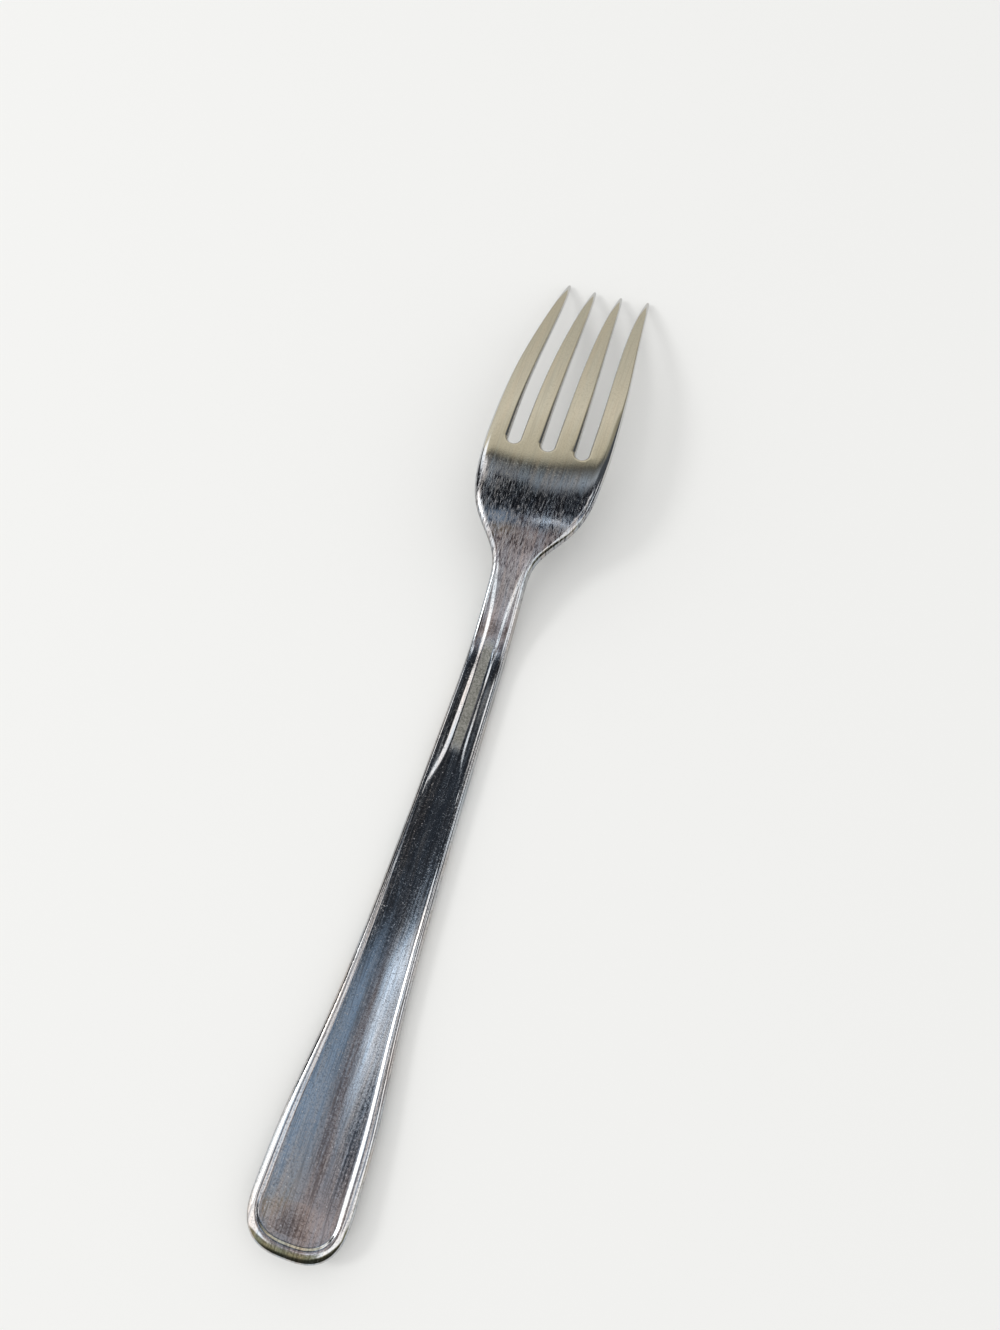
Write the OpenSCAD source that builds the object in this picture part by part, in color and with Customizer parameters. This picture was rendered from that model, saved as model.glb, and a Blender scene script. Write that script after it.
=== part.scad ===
// Dinner fork of one gauge of stainless steel, lying back up on a table.
// The tine tips and the low part of the handle touch the table, and the heel stands clear of it.
// X runs across the fork, +Y towards the tine tips and Z up.
// The origin is on the table, under the middle of the fork.

/* [Overall] */
// Length along the table, from the handle end to the tine tips
overall_length = 190; // [175:1:205]
// Room under the heel
heel_rise = 10.2; // [8:0.1:13]
// Room under the handle end
end_lift = 2.4; // [0.5:0.1:3]

/* [Handle] */
// Width of the handle near its end
handle_width = 17.1; // [15:0.1:20]
// Width of the stem where it is narrowest
stem_width = 7; // [6:0.1:9]
// Thickness over the rim at the handle end
rim_thickness = 2.2; // [1.6:0.1:2.6]
// Thickness over the rim at the stem
stem_thickness = 2.6; // [2:0.1:3.2]
// Width of the outer roll of the bead that frames both faces of the handle
bead_roll = 1.4; // [1:0.1:1.8]
// Width of the bead's inner slope
bead_slope = 0.9; // [0.6:0.1:1.2]
// Depth of the field below the bead
field_depth = 0.2; // [0.15:0.05:0.35]
// Rise of the handle's middle between its beads
handle_crown = 0.15; // [0:0.05:0.15]
// Height of the raised panel along the back of the stem
panel_height = 0.15; // [0:0.05:0.3]

/* [Head] */
// Width of the head where the tines start
head_width = 24.5; // [22:0.1:27]
// Thickness of the head at the heel
head_thickness = 2.2; // [1.6:0.1:2.6]
// Drop from the middle of the head to its sides
head_dish = 0.7; // [0:0.1:1.5]
// Length over which the neck opens to half the head's width
shoulder_reach = 11.7; // [9:0.1:13]
// Radius of the rounded edges of the tines
edge_radius = 0.35; // [0.25:0.05:0.6]
// Radius of the rounded sides of the head
side_radius = 1.1; // [0.35:0.05:1.4]
// Radius of the edges where the tines start, round the roots of the slots
root_radius = 0.65; // [0.35:0.05:0.9]

/* [Tines] */
// Length of the slots between the tines
slot_length = 45.6; // [40:0.1:50]
// Width of a slot at its root
slot_width = 2.4; // [2:0.1:3.4]
// Thickness of a tine at its tip
tip_thickness = 0.9; // [0.6:0.1:1.4]
// Share of their spacing by which the tines draw together towards the tips
toe_in = 0.15; // [0:0.01:0.2]
// Amount by which the inner tines are shorter than the outer ones
inner_shortfall = 0.5; // [0:0.1:1]

/* [Hidden] */

// Where one sub-part ends and the next starts, measured from the handle end
end_depth = handle_width / 2;
handle_to = 0.35 * overall_length;
stem_to = 0.59 * overall_length;
neck_to = 0.65 * overall_length;
shoulder_to = 0.735 * overall_length;
tine_start = overall_length - slot_length + slot_width / 2;
tip_to = overall_length - tip_thickness / 4;

// The side view: a low stretch on the table, the rise to the heel and the droop to the tips
low_to = 0.395 * overall_length;
rise_from = 0.51 * overall_length;
rise_to = 0.755 * overall_length;
droop_from = 0.75 * overall_length;
lift_power = 2;
droop_power = 2.5;

// The plan: a slow taper up to the stem, a swell near the handle end and the shoulders
taper = 0.0285;
taper_to = 0.57 * overall_length;
taper_blend = 8;
swell_at = 0.06 * overall_length;
swell_reach = 0.116 * overall_length;
swell_power = 3;
shoulder_from = 0.613 * overall_length;
shoulder_power = 4.1;
end_power = 2.7;

// The bead is wider round the handle end, narrows with the handle and dies out on the shoulders
// Its slope is short round the end, and it stands lower along the upper handle
end_spread = 1.6;
end_haste = 2;
lower_from = 0.29 * overall_length;
lower_to = 0.37 * overall_length;
bead_power = 0.9;
bead_from = stem_to;
bead_to = neck_to + 8;

// The panel is narrow on the stem and widens into the handle's field and the neck
// On the front the crown and the panel are lower, so that the handle lies on its beads
panel_share = 0.36;
panel_fall = 0.36;
front_share = 0.2;
panel_from = 0.38 * overall_length;
panel_full = 0.47 * overall_length;
panel_fade = 0.57 * overall_length;
panel_to = 0.68 * overall_length;

// The head is most dished at the heel and flatter at the tines
dish_at = 0.69 * overall_length;
dish_left = 0.4;

// The tines narrow evenly, then close to a point over their last stretch
tine_width = (head_width - 3 * slot_width) / 4;
tine_pitch = tine_width + slot_width;
tine_narrowing = 0.45;
narrowing_power = 1.2;
point_power = 4;
blunt_share = 0.988;
root_fade = 0.1 * overall_length;

// Places of the columns of a section: on a bead's roll and slope, over a field and over a tine
roll_steps = [0, 0.06, 0.2, 0.5, 1];
slope_steps = [0.5, 1];
field_steps = [-0.72, -0.54, -0.36, 0, 0.36, 0.54, 0.72];
tine_steps = [-1, -0.93, -0.75, 0, 0.75, 0.93, 1];
root_angles = [150, 120, 90, 60, 30];
root_rows = [0, 0.3, 0.55, 0.75, 0.88, 0.96, 1];

warm_steel = [0.68, 0.64, 0.56];
dark_steel = [0.3, 0.31, 0.35];
bright_steel = [0.78, 0.78, 0.79];
blue_steel = [0.5, 0.55, 0.63];

// A share that runs from 0 to 1 as v goes between two places, level at both of them
function ramp(v, from, to) =
    let (u = min(1, max(0, (v - from) / (to - from))))
    u * u * u * (10 - 15 * u + 6 * u * u);

// The same length of run above zero, with its start rounded off
function eased(v, blend) = (v + sqrt(v * v + blend * blend)) / 2;

// Evenly spaced places, both ends included
function evenly(from, to, steps) = [for (i = [0:steps]) from + (to - from) * i / steps];

// How far the shoulders have opened at y, as a share of the full opening
function opening(y) =
    let (v = pow(max(0, y - shoulder_from), shoulder_power))
    v / (v + pow(shoulder_reach, shoulder_power));

function taper_at(y) = taper * eased(taper_to - y, taper_blend);
swell = (handle_width - stem_width) / 2 - taper_at(swell_at);

// Half of the width at y before the shoulders open
function shank(y) =
    stem_width / 2 + taper_at(y)
    + swell / (1 + pow(abs(y - swell_at) / swell_reach, swell_power));

// Half of the fork's width at y, up to the start of the tines
function half_width(y) =
    shank(y) + (head_width / 2 - shank(tine_start)) * opening(y) / opening(tine_start);

// Length of the edge for each unit along the fork
function edge_slant(y) = norm([1, (half_width(y + 0.1) - half_width(y - 0.1)) / 0.2]);

// Thickness over the rim or the edges at y
function thickness(y) =
    rim_thickness
    + (stem_thickness - rim_thickness) * ramp(y, 0.15 * overall_length, handle_to)
    + (head_thickness - stem_thickness) * ramp(y, stem_to, shoulder_to)
    + (tip_thickness - head_thickness) * ramp(y, shoulder_to, overall_length);

// Height of the under face, and of the middle of the metal, at y
function under(y) =
    end_lift * pow(max(0, 1 - y / low_to), lift_power)
    + heel_rise * ramp(y, rise_from, rise_to)
    - heel_rise * pow(max(0, (y - droop_from) / (tip_to - droop_from)), droop_power);
function middle(y) = under(y) + thickness(y) / 2;

// Share of the bead that is left at y, and the widths of its roll and slope
function beaded(y) = 1 - ramp(y, bead_from, bead_to);
function bead_size(y) = beaded(y) * pow(2 * half_width(y) / handle_width, bead_power);
function roll(y) = bead_roll * bead_size(y) + side_radius * (1 - beaded(y));
function slope(y) = bead_slope * bead_size(y) + edge_radius * (1 - beaded(y));

// Depth of the field below the bead at y
function sunk(y) =
    let (narrowing = 1 - 2 * half_width(y) / handle_width)
    field_depth * bead_size(y) * (1 - narrowing * ramp(y, lower_from, lower_to));

// Rise of the field's middle, share of the panel that stands, and drop of the head to its sides
function crown(y) = handle_crown * (1 - ramp(y, handle_to, stem_to));
function panelled(y) = ramp(y, panel_from, panel_full) * (1 - ramp(y, panel_fade, panel_to));
function dish(y) =
    head_dish * ramp(y, stem_to, dish_at)
    * (1 - (1 - dish_left) * ramp(y, dish_at, tine_start))
    * (1 - ramp(y, tine_start, overall_length));

// A point of the fork: across, along, and out from the middle of the metal
function place(x, y, out) =
    let (lean = atan((middle(y + 0.1) - middle(y - 0.1)) / 0.2))
    let (sag = dish(y) * pow(2 * x / head_width, 2))
    [x, y - overall_length / 2 - out * sin(lean), middle(y) - sag + out * cos(lean)];

// Half thickness under a rounded edge, at depth d in from it
function rounded(y, d, radius) =
    let (u = 1 - min(1, max(0, d / radius)))
    thickness(y) / 2 * sqrt(1 - u * u);

// Radius at y of the edges along the slots, and of the fork's sides along the head and outer tines
function by_root(y) = 1 - ramp(y, tine_start, tine_start + root_fade);
function slot_edge(y) =
    edge_radius + (root_radius - edge_radius) * by_root(y) * ramp(y, shoulder_to, tine_start);
function side_edge(y) = edge_radius + (side_radius - edge_radius) * by_root(y);

// Half thickness of the handle, stem and heel: a bead or rounded edge, then the field
function framed(y, d, across, rise) =
    let (b = roll(y))
    let (s = slope(y))
    let (top = thickness(y) / 2)
    let (field = top - sunk(y))
    let (flat = 1 - (1 - panel_share) * panelled(y))
    d < b ? rounded(y, d, b)
    : d < b + s ? field + (top - field) * (1 + cos(180 * (d - b) / s)) / 2
    : field + rise * (crown(y) * (1 - across * across)
        + panel_height * panelled(y) * (1 - ramp(across, flat, flat + panel_fall)));

// Half thickness up to the back and down to the front
function both_faces(y, d, across) =
    [framed(y, d, across, 1), framed(y, d, across, front_share)];
function even_faces(out) = [out, out];

// Depths in from the edge of the columns over a bead or rounded edge at y
function edge_depths(y) =
    concat([for (s = roll_steps) s * roll(y)], [for (s = slope_steps) roll(y) + s * slope(y)]);

// One row of a plate right across the fork at y, as [x, y, [up, down]] for each column
function section(y) =
    let (w = half_width(y))
    let (slant = edge_slant(y))
    let (inside = w - (roll(y) + slope(y)) * slant)
    let (left = [for (d = edge_depths(y)) [d * slant - w, d, 1]])
    let (inner = [for (s = field_steps) [s * inside, w, abs(s)]])
    let (right = [for (i = [len(left) - 1:-1:0]) [-left[i][0], left[i][1], 1]])
    [for (c = concat(left, inner, right)) [c[0], y, both_faces(y, c[1], c[2])]];

// One row round the handle end, at a share of the way out from its centre
function end_arc(share) =
    let (w = half_width(end_depth))
    let (slant = edge_slant(end_depth))
    let (inside = w - (roll(end_depth) + slope(end_depth)) * slant)
    let (across = min(1, share * w / inside))
    let (d = w * (1 - share) / slant)
    let (past_roll = max(0, d - roll(end_depth)))
    [for (turn = evenly(-90, 90, 24))
        let (x = w * share * sign(turn) * pow(abs(sin(turn)), 2 / end_power))
        let (y = end_depth * (1 - pow(share, end_spread) * pow(cos(turn), 2 / end_power)))
        [x, y, both_faces(end_depth, d + end_haste * cos(turn) * past_roll, across)]];

// Centre, half width and rows of a tine: spot is its place across the head, in pitches
function tine_row(spot, y, tip) =
    let (t = blunt_share * (y - tine_start) / (tip - tine_start))
    let (centre = spot * tine_pitch * (1 - toe_in * ramp(t, 0, 1)))
    let (w = tine_width / 2 * (1 - tine_narrowing * pow(t, narrowing_power)) * sqrt(1 - pow(t, point_power)))
    [for (s = tine_steps)
        let (radius = min(abs(spot) > 1 && s * spot > 0 ? side_edge(y) : slot_edge(y), 0.8 * w))
        [centre + s * w, y, even_faces(rounded(y, w * (1 - abs(s)), radius))]];

// Columns of the tine root at its far end: [x, y] across each tine and round each slot's root
function root_columns() =
    [for (k = [0:3])
        let (centre = (k - 1.5) * tine_pitch)
        let (slot = centre + tine_pitch / 2)
        each concat(
            [for (s = tine_steps) [centre + s * tine_width / 2, tine_start]],
            k == 3 ? [] : [for (a = root_angles) [slot, tine_start] + slot_width / 2 * [cos(a), -sin(a)]])];

// Half thickness of the tine root under the head's side and under the slots' roots
function root_out(x, y) =
    let (side = (half_width(y) - abs(x)) / edge_slant(y))
    let (slot = min([for (k = [-1:1]) norm([x - k * tine_pitch, y - tine_start])]) - slot_width / 2)
    min(rounded(y, side, side_edge(y)), rounded(y, slot, slot_edge(y)));

// A row of the tine root at a share of its length: its columns spread with the shoulders
function root_row(share) =
    [for (c = root_columns())
        let (y = shoulder_to + share * (c[1] - shoulder_to))
        let (x = c[0] * half_width(y) / half_width(tine_start))
        [x, y, even_faces(root_out(x, y))]];

// A solid plate from rows of [x, y, [up, down]], closed along its borders
module plate(rows) {
    across = len(rows[0]);
    along = len(rows);
    half = across * along;
    flat = [for (row = rows) each row];
    back = [for (p = flat) place(p[0], p[1], p[2][0])];
    front = [for (p = flat) place(p[0], p[1], -p[2][1])];
    points = concat(back, front);
    cells = [for (j = [0:along - 2], i = [0:across - 2]) j * across + i];
    upper = [for (c = cells) [c, c + across, c + across + 1, c + 1]];
    lower = [for (q = upper) [half + q[3], half + q[2], half + q[1], half + q[0]]];
    foot = [for (i = [0:across - 2]) [i, i + 1]];
    head = [for (e = foot) [half - 1 - e[0], half - 1 - e[1]]];
    left = [for (j = [along - 1:-1:1]) [j * across, j * across - across]];
    right = [for (j = [0:along - 2]) [j * across + across - 1, j * across + 2 * across - 1]];
    walls = [for (e = concat(foot, head, left, right)) [e[0], e[1], half + e[1], half + e[0]]];
    quads = concat(upper, lower, walls);
    halves = [for (q = quads) each [[q[0], q[1], q[2]], [q[0], q[2], q[3]]]];
    polyhedron(points, [for (f = halves) if (has_area(points, f)) f], convexity = 6);
}

// True where no two corners of a face are the same point
function has_area(points, f) =
    points[f[0]] != points[f[1]] && points[f[1]] != points[f[2]] && points[f[2]] != points[f[0]];

module handle_end() {
    w = half_width(end_depth);
    edge = [for (d = edge_depths(end_depth)) 1 - d * edge_slant(end_depth) / w];
    field = edge[len(edge) - 1];
    shares = concat(edge, [for (s = [0.7, 0.35, 0]) s * field]);
    color(bright_steel) plate([for (s = shares) end_arc(s)]);
}

module handle() {
    color(blue_steel) plate([for (y = evenly(end_depth, handle_to, 22)) section(y)]);
}

module stem() {
    color(bright_steel) plate([for (y = evenly(handle_to, stem_to, 16)) section(y)]);
}

module neck() {
    color(dark_steel) plate([for (y = evenly(stem_to, neck_to, 12)) section(y)]);
}

module shoulder() {
    color(dark_steel) plate([for (y = evenly(neck_to, shoulder_to, 16)) section(y)]);
}

module tine_root() {
    color(warm_steel) plate([for (s = root_rows) root_row(s)]);
}

module tine(spot, shortfall) {
    tip = tip_to - shortfall;
    color(warm_steel) plate([for (y = evenly(tine_start, tip, 22)) tine_row(spot, y, tip)]);
}

module tine_outer_left() {
    tine(-1.5, 0);
}

module tine_inner_left() {
    tine(-0.5, inner_shortfall);
}

module tine_inner_right() {
    tine(0.5, inner_shortfall);
}

module tine_outer_right() {
    tine(1.5, 0);
}

handle_end();
handle();
stem();
neck();
shoulder();
tine_root();
tine_outer_left();
tine_inner_left();
tine_inner_right();
tine_outer_right();
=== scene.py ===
"""A dinner fork of brushed stainless steel, lying back up on a pale table.

The steel is one blank, laid here as fine sheets over the same curves as the
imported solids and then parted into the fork's ten sub-parts. Sizes are in
millimetres and distances along the fork run from the handle end; a vertex is
put into metres where it is placed.
"""

import logging
import math
from collections.abc import Callable, Sequence
from dataclasses import dataclass, field
from enum import Enum

import bmesh
import bpy
from mathutils import Matrix, Vector


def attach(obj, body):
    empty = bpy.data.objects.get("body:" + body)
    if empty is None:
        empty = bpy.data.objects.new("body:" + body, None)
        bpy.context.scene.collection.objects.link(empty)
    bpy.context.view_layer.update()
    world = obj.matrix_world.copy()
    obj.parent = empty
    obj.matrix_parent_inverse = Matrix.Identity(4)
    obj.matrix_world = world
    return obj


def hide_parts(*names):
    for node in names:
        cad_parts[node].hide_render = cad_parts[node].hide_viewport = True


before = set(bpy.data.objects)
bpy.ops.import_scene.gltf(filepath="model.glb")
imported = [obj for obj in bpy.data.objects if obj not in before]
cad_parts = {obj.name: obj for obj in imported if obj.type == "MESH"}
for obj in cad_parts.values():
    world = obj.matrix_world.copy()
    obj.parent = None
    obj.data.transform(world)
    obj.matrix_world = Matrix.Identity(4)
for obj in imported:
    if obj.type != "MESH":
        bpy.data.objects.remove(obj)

log = logging.getLogger("fork")

MM = 0.001
BODY = "root"

Spot = Callable[[int, int, "Face"], Vector]
Colour = tuple[float, float, float, float]


class Face(Enum):
    """The two faces of the blank, by the side of its middle that they lie on."""

    BACK = 1.0
    FRONT = -1.0


class Zone(Enum):
    """The fork's sub-parts from the handle end to the tips, by their nodes."""

    HANDLE_END = "handle_end"
    HANDLE = "handle"
    STEM = "stem"
    NECK = "neck"
    SHOULDER = "shoulder"
    TINE_ROOT = "tine_root"
    OUTER_LEFT = "tine_outer_left"
    INNER_LEFT = "tine_inner_left"
    INNER_RIGHT = "tine_inner_right"
    OUTER_RIGHT = "tine_outer_right"

    @property
    def mark(self) -> int:
        """Number that marks this zone's faces in the blank."""
        return list(Zone).index(self)


CAP_MARK = len(Zone)

# Pitches from the fork's middle line to each tine and each slot
TINE_PITCHES = {
    Zone.OUTER_LEFT: -1.5,
    Zone.INNER_LEFT: -0.5,
    Zone.INNER_RIGHT: 0.5,
    Zone.OUTER_RIGHT: 1.5,
}
SLOT_PITCHES = (-1.0, 0.0, 1.0)


def linear(colour: str) -> Colour:
    """Turn an sRGB hex colour into the linear values that the nodes take.

    Args:
        colour: The colour as "#rrggbb".

    Returns:
        Linear red, green and blue, with full opacity.
    """
    shares = [int(colour[at:at + 2], 16) / 255 for at in (1, 3, 5)]
    red, green, blue = [
        share / 12.92 if share <= 0.04045 else ((share + 0.055) / 1.055) ** 2.4
        for share in shares
    ]
    return (red, green, blue, 1.0)


def ramp(value: float, start: float, end: float) -> float:
    """Rise from 0 to 1 between two places, level at both of them.

    Args:
        value: The place that is asked for.
        start: Where the rise starts.
        end: Where the rise ends.

    Returns:
        The share of the rise.
    """
    share = min(1.0, max(0.0, (value - start) / (end - start)))
    return share ** 3 * (10 - 15 * share + 6 * share * share)


def evenly(start: float, end: float, steps: int) -> list[float]:
    """Space places evenly, both ends included.

    Args:
        start: The first place.
        end: The last place.
        steps: How many steps lie between them.

    Returns:
        The places in order.
    """
    return [start + (end - start) * step / steps for step in range(steps + 1)]


def add_node(
    tree: bpy.types.NodeTree,
    kind: str,
    inputs: dict[str | int, object] | None = None,
    stops: Sequence[tuple[float, Colour]] = (),
    **settings: object,
) -> bpy.types.Node:
    """Add a node with its settings, values and links.

    Args:
        tree: The node tree to add to.
        kind: Blender's name for the kind of node.
        inputs: Values, or sockets to link from, by the input they go to.
        stops: Places and colours of a colour ramp, its two ends first.
        **settings: Attributes to set on the node.

    Returns:
        The new node.
    """
    node = tree.nodes.new(kind)
    for name, value in settings.items():
        setattr(node, name, value)
    for number, (place, colour) in enumerate(stops):
        elements = node.color_ramp.elements
        stop = elements[number] if number < 2 else elements.new(place)
        stop.position = place
        stop.color = colour
    for name, value in (inputs or {}).items():
        if isinstance(value, bpy.types.NodeSocket):
            tree.links.new(value, node.inputs[name])
        else:
            node.inputs[name].default_value = value
    return node


@dataclass(frozen=True)
class Station:
    """The blank's measures at one distance from the handle end.

    Attributes:
        along: Distance from the handle end.
        half_width: Half of the fork's width.
        slant: Length of the edge for each unit along the fork.
        top: Half of the thickness over the rim or edges.
        middle: Height of the middle of the metal above the table.
        lean: Slope of the middle, as an angle.
        dish: Drop from the middle of the head to its sides.
        brow: Width of the bead's outer roll, or of a rounded edge.
        fall: Width of the bead's inner slope down to the field.
        floor: Half of the thickness at the foot of the bead.
        crown: Rise of the handle's field from its sides to its middle.
        panel: Height of the stem's raised panel above the field.
        panel_to: Where the panel's flat top ends, as a share of the field.
        slot_edge: Radius of the edges along the slots.
        side_edge: Radius of the fork's sides along the head and outer tines.
    """

    along: float
    half_width: float
    slant: float
    top: float
    middle: float
    lean: float
    dish: float
    brow: float
    fall: float
    floor: float
    crown: float
    panel: float
    panel_to: float
    slot_edge: float
    side_edge: float

    @property
    def inside(self) -> float:
        """Half of the width of the field inside the beads or edges."""
        return self.half_width - (self.brow + self.fall) * self.slant


@dataclass(frozen=True)
class Blank:
    """The steel blank: its sizes, and the curves of its plan and side view.

    Places along the fork are shares of its length. Widths and thicknesses are
    whole ones, and depths and heights are those of one face.
    """

    length: float = 190.0
    # Where one zone passes into the next
    handle_share: float = 0.35
    stem_share: float = 0.59
    neck_share: float = 0.65
    shoulder_share: float = 0.735
    # Height: the handle's lifted end, the heel's arch and the drooping tines
    end_lift: float = 2.4
    low_share: float = 0.395
    heel_rise: float = 10.2
    rise_from_share: float = 0.51
    rise_to_share: float = 0.755
    droop_share: float = 0.75
    droop_power: float = 2.5
    # Thickness
    rim_thickness: float = 2.2
    thicken_share: float = 0.15
    stem_thickness: float = 2.6
    head_thickness: float = 2.2
    tip_thickness: float = 0.9
    # Share of its thickness by which the middle of a leaning tip stays back
    tip_back_share: float = 0.25
    # Plan: a taper with a swell at the handle, then the opening shoulders
    handle_width: float = 17.1
    stem_width: float = 7.0
    taper: float = 0.0285
    taper_share: float = 0.57
    taper_blend: float = 8.0
    swell_at_share: float = 0.06
    swell_reach_share: float = 0.116
    swell_power: float = 3.0
    head_width: float = 24.5
    opening_share: float = 0.613
    opening_power: float = 4.1
    shoulder_reach: float = 11.7
    # Bead round the handle, which flattens up the handle, and its field
    brow_width: float = 1.4
    fall_width: float = 0.9
    bead_power: float = 0.9
    bead_fade: float = 8.0
    flat_from_share: float = 0.29
    flat_to_share: float = 0.37
    field_depth: float = 0.2
    handle_crown: float = 0.15
    # Raised panel along the stem: its top and slope as shares of the half field
    panel_height: float = 0.15
    panel_share: float = 0.36
    panel_slope: float = 0.36
    # Where the panel comes in and dies out
    panel_from_share: float = 0.38
    panel_full_share: float = 0.47
    panel_fade_share: float = 0.57
    panel_to_share: float = 0.68
    # How high crown and panel are on the front, beside the back
    front_share: float = 0.2
    # Head, slots and edges
    head_dish: float = 0.7
    dish_at_share: float = 0.69
    dish_keep: float = 0.4
    slot_length: float = 45.6
    slot_width: float = 2.4
    edge_radius: float = 0.35
    side_radius: float = 1.1
    root_radius: float = 0.65
    root_fade_share: float = 0.1
    # Step over which slopes are taken
    slope_step: float = 0.1

    @property
    def end_depth(self) -> float:
        """Length of the rounded end of the handle."""
        return self.handle_width / 2

    @property
    def handle_to(self) -> float:
        """Where the handle passes into the stem."""
        return self.handle_share * self.length

    @property
    def stem_to(self) -> float:
        """Where the stem passes into the neck."""
        return self.stem_share * self.length

    @property
    def neck_to(self) -> float:
        """Where the neck passes into the shoulder."""
        return self.neck_share * self.length

    @property
    def shoulder_to(self) -> float:
        """Where the shoulder passes into the root of the tines."""
        return self.shoulder_share * self.length

    @property
    def tine_start(self) -> float:
        """Where the tines stand apart with their full width."""
        return self.length - self.slot_length + self.slot_width / 2

    @property
    def tip_to(self) -> float:
        """Where the outer tines end."""
        return self.length - self.tip_back_share * self.tip_thickness

    @property
    def tine_width(self) -> float:
        """Width of a tine at its root."""
        slots = len(SLOT_PITCHES) * self.slot_width
        return (self.head_width - slots) / len(TINE_PITCHES)

    @property
    def tine_pitch(self) -> float:
        """Distance from one tine to the next at their roots."""
        return self.tine_width + self.slot_width

    def opening(self, along: float) -> float:
        """Share to which the shoulders have opened at a distance along."""
        run = max(0.0, along - self.opening_share * self.length)
        run = run ** self.opening_power
        return run / (run + self.shoulder_reach ** self.opening_power)

    def taper_at(self, along: float) -> float:
        """Half width that the slow taper adds to the stem at a distance along."""
        run = self.taper_share * self.length - along
        return self.taper * (run + math.hypot(run, self.taper_blend)) / 2

    def shank(self, along: float) -> float:
        """Work out half of the width before the shoulders open.

        Args:
            along: Distance from the handle end.

        Returns:
            Half of the width of the tapering, swelling shank.
        """
        swell_at = self.swell_at_share * self.length
        swell = (self.handle_width - self.stem_width) / 2 - self.taper_at(swell_at)
        away = abs(along - swell_at) / (self.swell_reach_share * self.length)
        return (
            self.stem_width / 2
            + self.taper_at(along)
            + swell / (1 + away ** self.swell_power)
        )

    def half_width(self, along: float) -> float:
        """Work out half of the fork's width, up to the start of the tines.

        Args:
            along: Distance from the handle end.

        Returns:
            Half of the width.
        """
        full = self.head_width / 2 - self.shank(self.tine_start)
        spread = self.opening(along) / self.opening(self.tine_start)
        return self.shank(along) + full * spread

    def thickness(self, along: float) -> float:
        """Work out the thickness over the rim or the edges.

        Args:
            along: Distance from the handle end.

        Returns:
            The thickness.
        """
        to_stem = ramp(along, self.thicken_share * self.length, self.handle_to)
        to_head = ramp(along, self.stem_to, self.shoulder_to)
        to_tip = ramp(along, self.shoulder_to, self.length)
        return (
            self.rim_thickness
            + (self.stem_thickness - self.rim_thickness) * to_stem
            + (self.head_thickness - self.stem_thickness) * to_head
            + (self.tip_thickness - self.head_thickness) * to_tip
        )

    def middle(self, along: float) -> float:
        """Work out the height of the middle of the metal above the table.

        Args:
            along: Distance from the handle end.

        Returns:
            The height.
        """
        heel = self.droop_share * self.length
        lift = max(0.0, 1 - along / (self.low_share * self.length)) ** 2
        rise = ramp(
            along, self.rise_from_share * self.length, self.rise_to_share * self.length)
        droop = max(0.0, (along - heel) / (self.tip_to - heel)) ** self.droop_power
        under = self.end_lift * lift + self.heel_rise * (rise - droop)
        return under + self.thickness(along) / 2

    def station(self, along: float) -> Station:
        """Measure the blank at one distance from the handle end.

        Args:
            along: Distance from the handle end.

        Returns:
            The measures there.
        """
        step = self.slope_step
        before, after = along - step, along + step
        widening = (self.half_width(after) - self.half_width(before)) / (2 * step)
        slope = (self.middle(after) - self.middle(before)) / (2 * step)
        beaded = 1 - ramp(along, self.stem_to, self.neck_to + self.bead_fade)
        panelled = ramp(
            along, self.panel_from_share * self.length, self.panel_full_share * self.length)
        panelled *= 1 - ramp(
            along, self.panel_fade_share * self.length, self.panel_to_share * self.length)
        to_plain = ramp(along, self.handle_to, self.stem_to)
        dish_at = self.dish_at_share * self.length
        dish = self.head_dish * ramp(along, self.stem_to, dish_at)
        dish *= 1 - (1 - self.dish_keep) * ramp(along, dish_at, self.tine_start)
        top = self.thickness(along) / 2
        width = self.half_width(along)
        narrowed = width / (self.handle_width / 2)
        bead = beaded * narrowed ** self.bead_power
        flattening = ramp(
            along, self.flat_from_share * self.length, self.flat_to_share * self.length)
        relief = bead * (1 - (1 - narrowed) * flattening)
        by_root = 1 - ramp(
            along, self.tine_start, self.tine_start + self.root_fade_share * self.length)
        rooted = by_root * ramp(along, self.shoulder_to, self.tine_start)
        return Station(
            along=along,
            half_width=width,
            slant=math.hypot(1, widening),
            top=top,
            middle=self.middle(along),
            lean=math.atan(slope),
            dish=dish * (1 - ramp(along, self.tine_start, self.length)),
            brow=self.brow_width * bead + self.side_radius * (1 - beaded),
            fall=self.fall_width * bead + self.edge_radius * (1 - beaded),
            floor=top - self.field_depth * relief,
            crown=self.handle_crown * (1 - to_plain),
            panel=self.panel_height * panelled,
            panel_to=1 - (1 - self.panel_share) * panelled,
            slot_edge=self.edge_radius + (self.root_radius - self.edge_radius) * rooted,
            side_edge=self.edge_radius + (self.side_radius - self.edge_radius) * by_root,
        )

    def place(self, at: Station, across: float, out: float) -> Vector:
        """Place a point of the fork on the table, in metres.

        Args:
            at: The measures at the point's distance along the fork.
            across: Distance from the middle line, to the right.
            out: Distance out from the middle of the metal, to the back.

        Returns:
            The point.
        """
        sag = at.dish * (2 * across / self.head_width) ** 2
        return MM * Vector((
            across,
            at.along - self.length / 2 - out * math.sin(at.lean),
            at.middle - sag + out * math.cos(at.lean),
        ))

    def rounded(self, at: Station, depth: float, radius: float) -> float:
        """Work out half of the thickness inside a rounded edge.

        Args:
            at: The measures at this distance along the fork.
            depth: Distance in from the edge.
            radius: Width of the rounding.

        Returns:
            Half of the thickness.
        """
        share = 1 - min(1.0, max(0.0, depth / radius))
        return at.top * math.sqrt(1 - share * share)

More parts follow.
